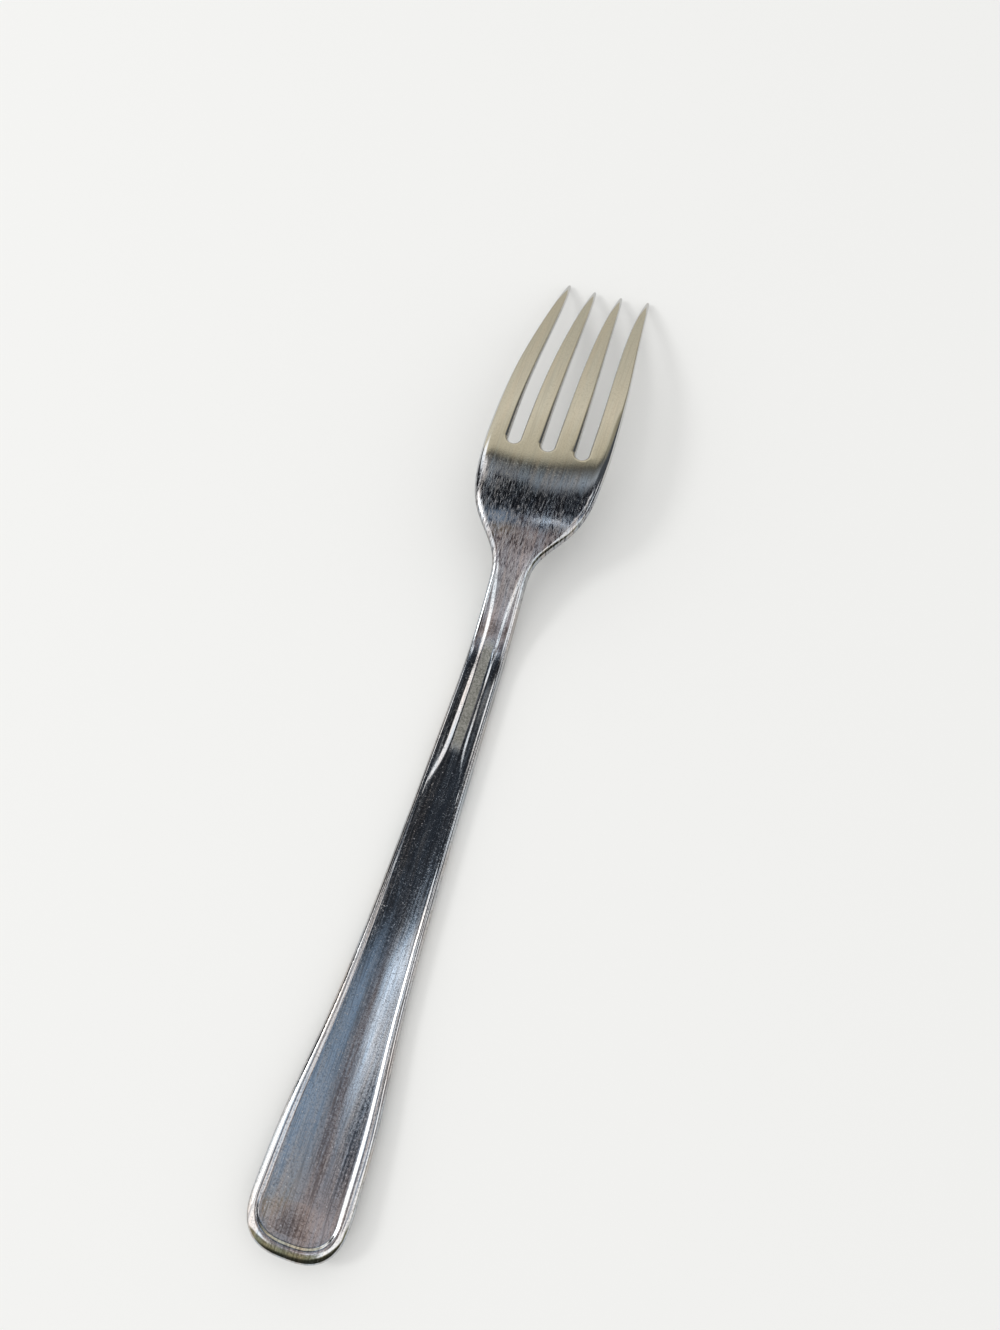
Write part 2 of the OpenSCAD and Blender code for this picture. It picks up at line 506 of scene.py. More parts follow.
    def framed(self, at: Station, depth: float, across: float, face: Face) -> float:
        """Work out half of the thickness over a bead and the field inside it.

        Args:
            at: The measures at this distance along the fork.
            depth: Distance in from the edge.
            across: Share of the way from the field's middle to its side.
            face: The face that is asked for.

        Returns:
            Distance from the middle of the metal to that face.
        """
        if depth < at.brow:
            return self.rounded(at, depth, at.brow)
        if depth < at.brow + at.fall:
            left = (1 + math.cos(math.pi * (depth - at.brow) / at.fall)) / 2
            return at.floor + (at.top - at.floor) * left
        rise = self.front_share if face is Face.FRONT else 1.0
        left = 1 - ramp(across, at.panel_to, at.panel_to + self.panel_slope)
        return at.floor + rise * (
            at.crown * (1 - min(1.0, across) ** 2) + at.panel * left)


def lay_sheets(
    bm: bmesh.types.BMesh, zone: Zone, columns: int, rows: int, spot: Spot
) -> None:
    """Lay the back and front sheets of one zone of the blank.

    Args:
        bm: The blank so far.
        zone: The zone that the sheets belong to.
        columns: How many faces lie across.
        rows: How many faces lie along.
        spot: Gives a vertex its place by its column, row and face.
    """
    marks = bm.faces.layers.int["zone"]
    for face in Face:
        made = bmesh.ops.create_grid(bm, x_segments=columns, y_segments=rows, size=0.5)
        for vert in made["verts"]:
            column = round((vert.co.x + 0.5) * columns)
            row = round((vert.co.y + 0.5) * rows)
            vert.co = spot(column, row, face)
        faces = list({face_of for vert in made["verts"] for face_of in vert.link_faces})
        for face_of in faces:
            face_of[marks] = zone.mark
        if face is Face.FRONT:
            bmesh.ops.reverse_faces(bm, faces=faces)


def lay_band(
    bm: bmesh.types.BMesh,
    blank: Blank,
    zone: Zone,
    rows: Sequence[tuple[Station, list[float]]],
) -> None:
    """Lay a zone that runs right across the fork between its two edges.

    Args:
        bm: The blank so far.
        blank: The curves that the sheets follow.
        zone: The zone that the sheets belong to.
        rows: The measures and the columns' places of each row.
    """

    def spot(column: int, row: int, face: Face) -> Vector:
        """Place a vertex of the band by its row's measures."""
        at, places = rows[row]
        across = places[column]
        depth = (at.half_width - abs(across)) / at.slant
        out = blank.framed(at, depth, abs(across) / at.inside, face)
        return blank.place(at, across, face.value * out)

    lay_sheets(bm, zone, len(rows[0][1]) - 1, len(rows) - 1, spot)


@dataclass
class Handle:
    """The handle: its rounded end, the beaded grip and the beaded stem.

    Attributes:
        blank: The curves that it follows.
        end_power: How square the outline of the rounded end is.
        end_spread: How fast the arcs inside the end's rim draw back from it.
        end_haste: How much sooner the bead falls to the field at the very end.
        bead_steps: Faces across the bead's outer roll.
        slope_steps: Faces across its inner slope.
        field_steps: Faces across half of the field.
        end_turns: Faces round the end.
        grip_rows: Faces along the grip.
        stem_rows: Faces along the stem.
    """

    blank: Blank
    end_power: float = 2.7
    end_spread: float = 1.6
    end_haste: float = 2.0
    bead_steps: int = 7
    slope_steps: int = 12
    field_steps: int = 28
    end_turns: int = 72
    grip_rows: int = 84
    stem_rows: int = 64

    @property
    def columns(self) -> int:
        """How many faces lie across the handle."""
        return 2 * (self.bead_steps + self.slope_steps + self.field_steps)

    def spread(self, at: Station) -> list[float]:
        """Spread the columns across the handle, close together over the beads.

        Args:
            at: The measures at this distance along the fork.

        Returns:
            Distances from the middle line, from left to right.
        """
        depths = [
            at.brow * (1 - math.cos(turn))
            for turn in evenly(0, math.pi / 2, self.bead_steps)
        ]
        depths += evenly(at.brow, at.brow + at.fall, self.slope_steps)[1:]
        left = [depth * at.slant - at.half_width for depth in depths]
        left += evenly(-at.inside, 0, self.field_steps)[1:]
        return left + [-across for across in reversed(left[:-1])]

    def lay(self, bm: bmesh.types.BMesh) -> None:
        """Lay the sheets of the handle's three zones.

        Args:
            bm: The blank so far.
        """
        blank = self.blank
        self.lay_end(bm)
        for zone, start, end, rows in (
            (Zone.HANDLE, blank.end_depth, blank.handle_to, self.grip_rows),
            (Zone.STEM, blank.handle_to, blank.stem_to, self.stem_rows),
        ):
            stations = [blank.station(along) for along in evenly(start, end, rows)]
            lay_band(bm, blank, zone, [(at, self.spread(at)) for at in stations])

    def lay_end(self, bm: bmesh.types.BMesh) -> None:
        """Lay the rounded end as rows of arcs, from its rim in to its centre.

        Args:
            bm: The blank so far.
        """
        blank = self.blank
        root = blank.station(blank.end_depth)
        width = root.half_width
        left = self.spread(root)[:self.columns // 2 + 1]
        arcs = [max(0.0, -across / width) for across in left]
        turns = evenly(-math.pi / 2, math.pi / 2, self.end_turns)
        power = 2 / self.end_power

        def spot(column: int, row: int, face: Face) -> Vector:
            """Place a vertex of the end by its arc's share and its turn."""
            share, turn = arcs[row], turns[column]
            sine, cosine = math.sin(turn), max(0.0, math.cos(turn))
            across = width * share * math.copysign(abs(sine) ** power, sine)
            along = blank.end_depth * (1 - share ** self.end_spread * cosine ** power)
            depth = width * (1 - share) / root.slant
            past_roll = max(0.0, depth - root.brow)
            depth += self.end_haste * cosine * past_roll
            out = blank.framed(root, depth, share * width / root.inside, face)
            return blank.place(blank.station(along), across, face.value * out)

        lay_sheets(bm, Zone.HANDLE_END, self.end_turns, len(arcs) - 1, spot)


@dataclass
class Head:
    """The head: the neck, the shoulder over the heel and the tines' root.

    Attributes:
        blank: The curves that it follows.
        handle: The handle, whose columns it takes over.
        edge_steps: Faces across the rounded edge of a tine.
        flat_steps: Faces across the rest of a tine.
        slot_turns: Faces round the end of a slot.
        neck_rows: Faces along the neck.
        shoulder_rows: Faces along the shoulder.
        root_rows: Faces along the tines' root.
        root_crowding: How much closer the root's rows lie by the slots.
    """

    blank: Blank
    handle: Handle
    edge_steps: int = 6
    flat_steps: int = 4
    slot_turns: int = 10
    neck_rows: int = 40
    shoulder_rows: int = 56
    root_rows: int = 30
    root_crowding: float = 1.8

    def tine_columns(self) -> list[float]:
        """Spread columns over a tine, as shares of its half width."""
        radius = self.blank.root_radius / (self.blank.tine_width / 2)
        left = [
            radius * (1 - math.cos(turn)) - 1
            for turn in evenly(0, math.pi / 2, self.edge_steps)
        ]
        flat = evenly(left[-1], -left[-1], self.flat_steps)[1:-1]
        return left + flat + [-share for share in reversed(left)]

    def far_ends(self) -> list[tuple[float, float]]:
        """Find where the columns end: across each tine and round each slot.

        Returns:
            Distances across and along the fork, from left to right.
        """
        blank = self.blank
        ends: list[tuple[float, float]] = []
        for pitches in TINE_PITCHES.values():
            centre = pitches * blank.tine_pitch
            ends += [
                (centre + share * blank.tine_width / 2, blank.tine_start)
                for share in self.tine_columns()
            ]
            if pitches + 0.5 in SLOT_PITCHES:
                slot = centre + blank.tine_pitch / 2
                radius = blank.slot_width / 2
                ends += [
                    (slot + radius * math.cos(turn),
                     blank.tine_start - radius * math.sin(turn))
                    for turn in evenly(math.pi, 0, self.slot_turns)[1:-1]
                ]
        return ends

    def lay(self, bm: bmesh.types.BMesh) -> None:
        """Lay the sheets of the head's three zones.

        Args:
            bm: The blank so far.
        """
        blank = self.blank
        tined = [across for across, _ in self.far_ends()]
        full = blank.half_width(blank.tine_start)

        def row(along: float) -> tuple[Station, list[float]]:
            """Pass the columns over from the beads to the tines and slots."""
            at = blank.station(along)
            passed = ramp(along, blank.stem_to, blank.shoulder_to)
            pairs = zip(self.handle.spread(at), tined)
            return at, [
                beaded + (end * at.half_width / full - beaded) * passed
                for beaded, end in pairs
            ]

        for zone, start, end, rows in (
            (Zone.NECK, blank.stem_to, blank.neck_to, self.neck_rows),
            (Zone.SHOULDER, blank.neck_to, blank.shoulder_to, self.shoulder_rows),
        ):
            lay_band(bm, blank, zone, [row(along) for along in evenly(start, end, rows)])
        self.lay_root(bm)

    def lay_root(self, bm: bmesh.types.BMesh) -> None:
        """Lay the tines' root, rounded towards the slots between the tines.

        Args:
            bm: The blank so far.
        """
        blank = self.blank
        ends = self.far_ends()
        full = blank.half_width(blank.tine_start)
        shares = [
            1 - left ** self.root_crowding for left in evenly(1, 0, self.root_rows)
        ]

        def spot(column: int, row: int, face: Face) -> Vector:
            """Place a vertex of the root by its column's far end."""
            end, far = ends[column]
            at = blank.station(blank.shoulder_to + shares[row] * (far - blank.shoulder_to))
            across = end * at.half_width / full
            side = (at.half_width - abs(across)) / at.slant
            slot = min(
                math.hypot(end - pitches * blank.tine_pitch, at.along - blank.tine_start)
                for pitches in SLOT_PITCHES
            ) - blank.slot_width / 2
            out = min(
                blank.rounded(at, side, at.side_edge),
                blank.rounded(at, slot, at.slot_edge),
            )
            return blank.place(at, across, face.value * out)

        lay_sheets(bm, Zone.TINE_ROOT, len(ends) - 1, len(shares) - 1, spot)


@dataclass
class Tine:
    """One tine: it narrows steadily and closes to a small rounded nose.

    Attributes:
        blank: The curves that it follows.
        zone: The sub-part that it is.
        pitches: How many pitches it lies to the right of the middle line.
        columns: Its columns, as shares of its half width.
        shortfall: How far before the outer tines it ends.
        toe_in: Share of its distance from the middle line that its tip gives up.
        narrowing: Share of its width that is gone at its tip.
        narrowing_power: How late it narrows.
        point_power: How late it closes to its point.
        blunt_share: Share of the way to its point at which it ends.
        nose: Length over which its thickness is rounded off at the tip.
        edge_limit: Largest share of its half width that a rounded edge takes.
        rows: How many faces lie along it.
        crowding: How much closer its rows lie by its tip.
    """

    blank: Blank
    zone: Zone
    pitches: float
    columns: list[float]
    shortfall: float = 0.0
    toe_in: float = 0.15
    narrowing: float = 0.45
    narrowing_power: float = 1.2
    point_power: float = 4.0
    blunt_share: float = 0.988
    nose: float = 0.45
    edge_limit: float = 0.8
    rows: int = 110
    crowding: float = 1.7

    def lay(self, bm: bmesh.types.BMesh) -> None:
        """Lay the tine's sheets, with rows closer together towards its tip.

        Args:
            bm: The blank so far.
        """
        blank = self.blank
        tip = blank.tip_to - self.shortfall
        run = tip - blank.tine_start
        stations = [
            blank.station(tip - run * (1 - share) ** self.crowding)
            for share in evenly(0, 1, self.rows)
        ]

        def spot(column: int, row: int, face: Face) -> Vector:
            """Place a vertex of the tine by its share of the half width."""
            at, share = stations[row], self.columns[column]
            gone = self.blunt_share * (at.along - blank.tine_start) / run
            half = (
                blank.tine_width / 2
                * (1 - self.narrowing * gone ** self.narrowing_power)
                * math.sqrt(1 - gone ** self.point_power)
            )
            drawn = 1 - self.toe_in * ramp(gone, 0, 1)
            centre = self.pitches * blank.tine_pitch * drawn
            outward = abs(self.pitches) > 1 and share * self.pitches > 0
            radius = at.side_edge if outward else at.slot_edge
            radius = min(radius, self.edge_limit * half)
            out = blank.rounded(at, half * (1 - abs(share)), radius)
            left = min(1.0, (tip - at.along) / self.nose)
            out *= math.sqrt(1 - (1 - left) ** 2)
            return blank.place(at, centre + share * half, face.value * out)

        lay_sheets(bm, self.zone, len(self.columns) - 1, self.rows, spot)


@dataclass(frozen=True)
class Wear:
    """The marks of brush and use on the steel, as values in its nodes.

    Attributes:
        worked: How strongly the marks show, fully so on the heel.
        brushed: How strongly the brush lines show.
        scratched: How far the heel's strokes take over from the brush lines.
        lines: Height of the brush lines.
        grit: Noise that gives specks and the strip's stipple.
        dark: Noise whose low values are dark streaks.
        dull: Noise whose high values are dull streaks.
        rough: Height of the specks and strokes.
    """

    worked: bpy.types.NodeSocket
    brushed: bpy.types.NodeSocket
    scratched: bpy.types.NodeSocket
    lines: bpy.types.NodeSocket
    grit: bpy.types.NodeSocket
    dark: bpy.types.NodeSocket
    dull: bpy.types.NodeSocket
    rough: bpy.types.NodeSocket


@dataclass(frozen=True)
class BrushedSteel:
    """Stainless steel, stamped and brushed lengthwise, then worn bright by use.

    The brush leaves fine straight lines along the fork, so that a reflection
    breaks up into streaks, and use leaves dull specks and faint warm and cool
    stains. A real brush line is a few hundredths of a millimetre wide; it is
    drawn wider here so that it shows. The heel rubs on plates, so short strokes
    dull it, and its colour is darkened throughout, partly for that wear and
    partly as painted shade for its darker reflection; the tines are rubbed
    smooth. A strip along the stem's panel is left matt and bare, with a faint
    stipple. Places along the fork are measured from its middle here.
    """

    name: str = "Stainless steel, brushed lengthwise"
    plain: str = "#C6C5C2"
    warm_stain: str = "#D0C2BA"
    cool_stain: str = "#B2C2D2"
    streak: str = "#4A4A4F"
    matt_light: str = "#AAAAA6"
    matt_dark: str = "#7A7A76"
    bright_roughness: float = 0.07
    streak_roughness: float = 0.36
    matt_roughness: float = 0.6
    # Brush lines, the heel's strokes, specks and stains
    line_width: float = 0.26
    line_length: float = 9.0
    line_depth: float = 0.003
    stroke_width: float = 0.2
    stroke_length: float = 1.0
    stroke_depth: float = 0.006
    speck: float = 0.3
    stain_width: float = 1.4
    stain_length: float = 16.0
    # Where the heel's strokes and then the smooth tines come in
    heel_from: float = 15.0
    heel_to: float = 30.0
    smooth_from: float = 41.0
    smooth_to: float = 48.0
    # How strongly marks show on handle and tines, beside the heel
    handle_share: float = 0.45
    smooth_share: float = 0.1
    # How deep the specks are off the heel, and how dark the whole heel's colour is: partly
    # the dulling of wear, partly painted shade
    stroke_share: float = 0.4
    heel_wear_and_shade: float = 0.3
    # Matt strip, and the shares of its half size where its edge is
    matt_middle: float = 2.0
    matt_length: float = 21.0
    matt_width: float = 1.8
    matt_from: float = 1.10
    matt_full: float = 0.85
    # Noise at which a mark starts and is full
    speck_from: float = 0.58
    speck_full: float = 0.78
    blend_from: float = 0.35
    blend_full: float = 0.65
    shade_from: float = 0.50
    shade_full: float = 0.34
    streak_from: float = 0.45
    streak_full: float = 0.75
    noise_detail: float = 2.0
    noise_roughness: float = 0.6
    noise_lift: float = 0.4
    noise_turn: float = 0.5

    def material(self) -> bpy.types.Material:
        """Make the material.

        Returns:
            The material, with its nodes.
        """
        made = bpy.data.materials.new(self.name)
        made.use_nodes = True
        tree = made.node_tree
        tree.nodes.clear()
        place = add_node(tree, "ShaderNodeTexCoord").outputs["Object"]
        wear = self.wear(tree, place)
        matt = self.matt_strip(tree, place)
        # Bare steel mirrors the room; brush and use only streak and blur that
        shader = add_node(tree, "ShaderNodeBsdfPrincipled", {
            "Base Color": self.tint(tree, place, wear, matt),
            "Metallic": 1.0,
            "Roughness": self.dullness(tree, wear, matt),
            "Normal": self.relief(tree, wear),
        })
        add_node(tree, "ShaderNodeOutputMaterial", {"Surface": shader.outputs["BSDF"]})
        return made

    def wear(self, tree: bpy.types.NodeTree, place: bpy.types.NodeSocket) -> Wear:
        """Work out how brush and use have marked the steel.

        Args:
            tree: The material's nodes.
            place: Where on the fork this is asked for, in metres.

        Returns:
            The marks.
        """
        along = add_node(tree, "ShaderNodeSeparateXYZ", {"Vector": place}).outputs["Y"]
        on_heel = add_node(tree, "ShaderNodeMapRange", {
            "Value": along,
            "From Min": self.heel_from * MM, "From Max": self.heel_to * MM,
            "To Min": self.handle_share, "To Max": 1.0,
        }, interpolation_type="SMOOTHSTEP").outputs["Result"]
        worked = add_node(tree, "ShaderNodeMapRange", {
            "Value": along,
            "From Min": self.smooth_from * MM, "From Max": self.smooth_to * MM,
            "To Min": on_heel, "To Max": self.smooth_share,
        }, interpolation_type="SMOOTHSTEP").outputs["Result"]
        brushed = add_node(tree, "ShaderNodeMath", {
            0: worked, 1: self.handle_share,
        }, operation="MINIMUM").outputs["Value"]
        scratched = add_node(tree, "ShaderNodeMapRange", {
            "Value": worked, "From Min": self.handle_share, "From Max": 1.0,
        }).outputs["Result"]
        lines = self.grain(tree, place, self.line_width, self.line_length)
        grit = self.grain(tree, place, self.speck, self.speck)
        strokes = self.grain(tree, place, self.stroke_width, self.stroke_length)
        lower, higher = [
            add_node(tree, "ShaderNodeMath", {
                0: lines, 1: grit,
            }, operation=choice).outputs["Value"]
            for choice in ("MINIMUM", "MAXIMUM")
        ]
        dark, dull, rough = [
            add_node(tree, "ShaderNodeMix", {
                "Factor": scratched, "A": off_heel, "B": strokes,
            }).outputs["Result"]
            for off_heel in (lower, higher, grit)
        ]
        return Wear(worked, brushed, scratched, lines, grit, dark, dull, rough)

    def matt_strip(
        self, tree: bpy.types.NodeTree, place: bpy.types.NodeSocket
    ) -> bpy.types.NodeSocket:
        """Mark off the matt strip along the stem's panel.

        Args:
            tree: The material's nodes.
            place: Where on the fork this is asked for, in metres.

        Returns:
            1 on the strip and 0 off it.
        """
        shares = add_node(tree, "ShaderNodeVectorMath", {
            0: add_node(tree, "ShaderNodeMapping", {
                "Vector": place,
                "Location": (0.0, -2 * self.matt_middle / self.matt_length, 0.0),
                "Scale": (2 / (self.matt_width * MM), 2 / (self.matt_length * MM), 0.0),
            }).outputs["Vector"],
        }, operation="ABSOLUTE").outputs["Vector"]
        axes = add_node(tree, "ShaderNodeSeparateXYZ", {"Vector": shares})
        return add_node(tree, "ShaderNodeMapRange", {
            "Value": add_node(tree, "ShaderNodeMath", {
                0: axes.outputs["X"], 1: axes.outputs["Y"],
            }, operation="MAXIMUM").outputs["Value"],
            "From Min": self.matt_from, "From Max": self.matt_full,
        }).outputs["Result"]

    def tint(
        self,
        tree: bpy.types.NodeTree,
        place: bpy.types.NodeSocket,
        wear: Wear,
        matt: bpy.types.NodeSocket,
    ) -> bpy.types.NodeSocket:
        """Stain the steel, darken its streaks and its heel, and grey its matt strip.

        Args:
            tree: The material's nodes.
            place: Where on the fork this is asked for, in metres.
            wear: The marks of brush and use.
            matt: 1 on the matt strip and 0 off it.

        Returns:
            The colour.
        """
        stained = add_node(tree, "ShaderNodeMix", {
            "Factor": add_node(tree, "ShaderNodeMapRange", {
                "Value": self.grain(tree, place, self.stain_width, self.stain_length),
                "From Min": self.blend_from, "From Max": self.blend_full,
            }).outputs["Result"],
            "A": linear(self.warm_stain), "B": linear(self.cool_stain),
        }, data_type="RGBA").outputs["Result"]
        used = add_node(tree, "ShaderNodeMix", {
            "Factor": wear.brushed, "A": linear(self.plain), "B": stained,
        }, data_type="RGBA").outputs["Result"]
        # Dark brush streaks; on the heel the colour is darkened throughout as well, partly
        # for wear and partly as painted shade for its darker reflection
        shaded = add_node(tree, "ShaderNodeMapRange", {
            "Value": wear.dark,
            "From Min": self.shade_from, "From Max": self.shade_full,
            "To Min": add_node(tree, "ShaderNodeMath", {
                0: wear.scratched, 1: self.heel_wear_and_shade,
            }, operation="MULTIPLY").outputs["Value"],
            "To Max": wear.worked,
        }).outputs["Result"]
        streaked = add_node(tree, "ShaderNodeMix", {
            "Factor": shaded, "A": used, "B": linear(self.streak),
        }, data_type="RGBA").outputs["Result"]
        stippled = add_node(tree, "ShaderNodeMix", {
            "Factor": add_node(tree, "ShaderNodeMapRange", {
                "Value": wear.grit,
                "From Min": self.blend_from, "From Max": self.blend_full,
            }).outputs["Result"],
            "A": linear(self.matt_dark), "B": linear(self.matt_light),
        }, data_type="RGBA").outputs["Result"]
        return add_node(tree, "ShaderNodeMix", {
            "Factor": matt, "A": streaked, "B": stippled,
        }, data_type="RGBA").outputs["Result"]

    def dullness(
        self, tree: bpy.types.NodeTree, wear: Wear, matt: bpy.types.NodeSocket
    ) -> bpy.types.NodeSocket:
        """Blur reflections on the streaks, the specks and the matt strip.

        Args:
            tree: The material's nodes.
            wear: The marks of brush and use.
            matt: 1 on the matt strip and 0 off it.

        Returns:
            The roughness.
        """
        specks = add_node(tree, "ShaderNodeMapRange", {
            "Value": wear.grit,
            "From Min": self.speck_from, "From Max": self.speck_full,
            "To Max": add_node(tree, "ShaderNodeMapRange", {
                "Value": wear.worked,
                "From Min": self.smooth_share, "From Max": self.handle_share,
            }).outputs["Result"],
        }).outputs["Result"]
        streaks = add_node(tree, "ShaderNodeMapRange", {
            "Value": wear.dull,
            "From Min": self.streak_from, "From Max": self.streak_full,
            "To Max": wear.worked,
        }).outputs["Result"]
        used = add_node(tree, "ShaderNodeMapRange", {
            "Value": add_node(tree, "ShaderNodeMath", {
                0: streaks, 1: specks,
            }, operation="MAXIMUM").outputs["Value"],
            "To Min": self.bright_roughness, "To Max": self.streak_roughness,
        }).outputs["Result"]
        return add_node(tree, "ShaderNodeMapRange", {
            "Value": matt, "To Min": used, "To Max": self.matt_roughness,
        }).outputs["Result"]

    def relief(self, tree: bpy.types.NodeTree, wear: Wear) -> bpy.types.NodeSocket:
        """Raise the brush lines, and the specks and strokes over them.

        Args:
            tree: The material's nodes.
            wear: The marks of brush and use.

        Returns:
            The normal.
        """
        lined = add_node(tree, "ShaderNodeBump", {
            "Height": wear.lines,
            "Strength": wear.brushed,
            "Distance": self.line_depth * MM,
        }).outputs["Normal"]
        return add_node(tree, "ShaderNodeBump", {
            "Height": wear.rough,
            "Strength": add_node(tree, "ShaderNodeMapRange", {
                "Value": wear.scratched, "To Min": self.stroke_share,
            }).outputs["Result"],
            "Distance": self.stroke_depth * MM,
            "Normal": lined,
        }).outputs["Normal"]

    def grain(
        self,
        tree: bpy.types.NodeTree,
        place: bpy.types.NodeSocket,
        width: float,
        length: float,
    ) -> bpy.types.NodeSocket:
        """Add a noise that is drawn out along the fork.

        Args:
            tree: The material's nodes.
            place: Where on the fork the noise is asked for, in metres.
            width: Width of its features, in millimetres.
            length: Length of its features, in millimetres.

        Returns:
            The noise's value.
        """
        across, along = 1 / (width * MM), 1 / (length * MM)
        # Turned and lifted off the noise's own lattice, whose rows would show
        return add_node(tree, "ShaderNodeTexNoise", {
            "Vector": add_node(tree, "ShaderNodeMapping", {
                "Vector": place,
                "Location": (0.0, 0.0, self.noise_lift),
                "Rotation": (0.0, 0.0, self.noise_turn),
                "Scale": (across, along, 0.0),
            }).outputs["Vector"],
            "Scale": 1.0,
            "Detail": self.noise_detail,
            "Roughness": self.noise_roughness,
        }).outputs["Fac"]


@dataclass
class Fork:
    """The whole fork, laid as one blank and parted into its sub-parts."""

    blank: Blank = field(default_factory=Blank)
    finish: BrushedSteel = field(default_factory=BrushedSteel)
    inner_shortfall: float = 0.5
    weld: float = 0.002

    def build(self) -> list[bpy.types.Object]:
        """Lay, weld and part the blank, and dress each piece.

        Returns:
            The pieces, from the handle end to the tines.
        """
        bm = bmesh.new()
        bm.faces.layers.int.new("zone")
        handle = Handle(self.blank)
        head = Head(self.blank, handle)
        handle.lay(bm)
        head.lay(bm)
        for tine in self.tines(head.tine_columns()):
            tine.lay(bm)
        bmesh.ops.remove_doubles(bm, verts=bm.verts, dist=self.weld * MM)
        bmesh.ops.recalc_face_normals(bm, faces=bm.faces)
        bm.normal_update()
        loose = sum(not edge.is_manifold for edge in bm.edges)
        log.info("blank: %d faces, %d open edges", len(bm.faces), loose)
        flow = bm.verts.layers.float_vector.new("flow")
        for vert in bm.verts:
            vert[flow] = vert.normal
        material = self.finish.material()
        pieces = [self.part(bm, zone, material) for zone in Zone]
        bm.free()
        return pieces

    def tines(self, columns: list[float]) -> list[Tine]:
        """Set out the four tines, the inner two a little shorter.

        Args:
            columns: The columns of a tine, as shares of its half width.

        Returns:
            The tines from left to right.
        """
        return [
            Tine(
                self.blank, zone, pitches, columns,
                shortfall=self.inner_shortfall if abs(pitches) < 1 else 0.0)
            for zone, pitches in TINE_PITCHES.items()
        ]

    def part(
        self, blank: bmesh.types.BMesh, zone: Zone, material: bpy.types.Material
    ) -> bpy.types.Object:
        """Cut one zone out of the blank, close its cuts and dress it.

        Args:
            blank: The whole welded blank.
            zone: The zone to keep.
            material: The steel that it wears.

        Returns:
            The piece.
        """
        bm = blank.copy()
        marks = bm.faces.layers.int["zone"]
        others = [face for face in bm.faces if face[marks] != zone.mark]
        bmesh.ops.delete(bm, geom=others, context="FACES")
        cuts = [edge for edge in bm.edges if edge.is_boundary]
        for face in bmesh.ops.holes_fill(bm, edges=cuts, sides=0)["faces"]:
            face[marks] = CAP_MARK
        for face in bm.faces:
            face.smooth = True
        mesh = bpy.data.meshes.new(f"{zone.value}_steel")
        bm.to_mesh(mesh)
        bm.free()
        self.keep_flow(mesh)
        mesh.materials.append(material)
        piece = bpy.data.objects.new(mesh.name, mesh)
        bpy.context.scene.collection.objects.link(piece)
        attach(piece, BODY)
        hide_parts(zone.value)
        return piece

    @staticmethod
    def keep_flow(mesh: bpy.types.Mesh) -> None:
        """Shade a piece as the blank was, so that no seam shows where it was cut.

        Args:
            mesh: The piece's mesh, which loses the layers used for this.
        """
        flow = [item.vector.copy() for item in mesh.attributes["flow"].data]
        marks = [item.value for item in mesh.attributes["zone"].data]
        normals = [Vector()] * len(mesh.loops)
        for polygon in mesh.polygons:
            for loop in polygon.loop_indices:
                capped = marks[polygon.index] == CAP_MARK
                normals[loop] = (
                    polygon.normal.copy() if capped
                    else flow[mesh.loops[loop].vertex_index]
                )
        mesh.attributes.remove(mesh.attributes["flow"])
        mesh.attributes.remove(mesh.attributes["zone"])
        mesh.normals_split_custom_set(normals)


@dataclass(frozen=True)
class Card:
    """A soft-edged card in the room overhead, for the steel to mirror.

    Attributes:
        name: What it stands for, or what it gives the steel.
        colour: Its colour.
        middle: Its place to the right and to the far side, on a dome of radius 1.
        reach: Half of its width and half of its depth.
        softness: Share of its reach over which its edge fades.
        glow: Times as bright as its colour that it is.
    """

    name: str
    colour: str
    middle: tuple[float, float]
    reach: tuple[float, float]
    softness: float
    glow: float = 1.0


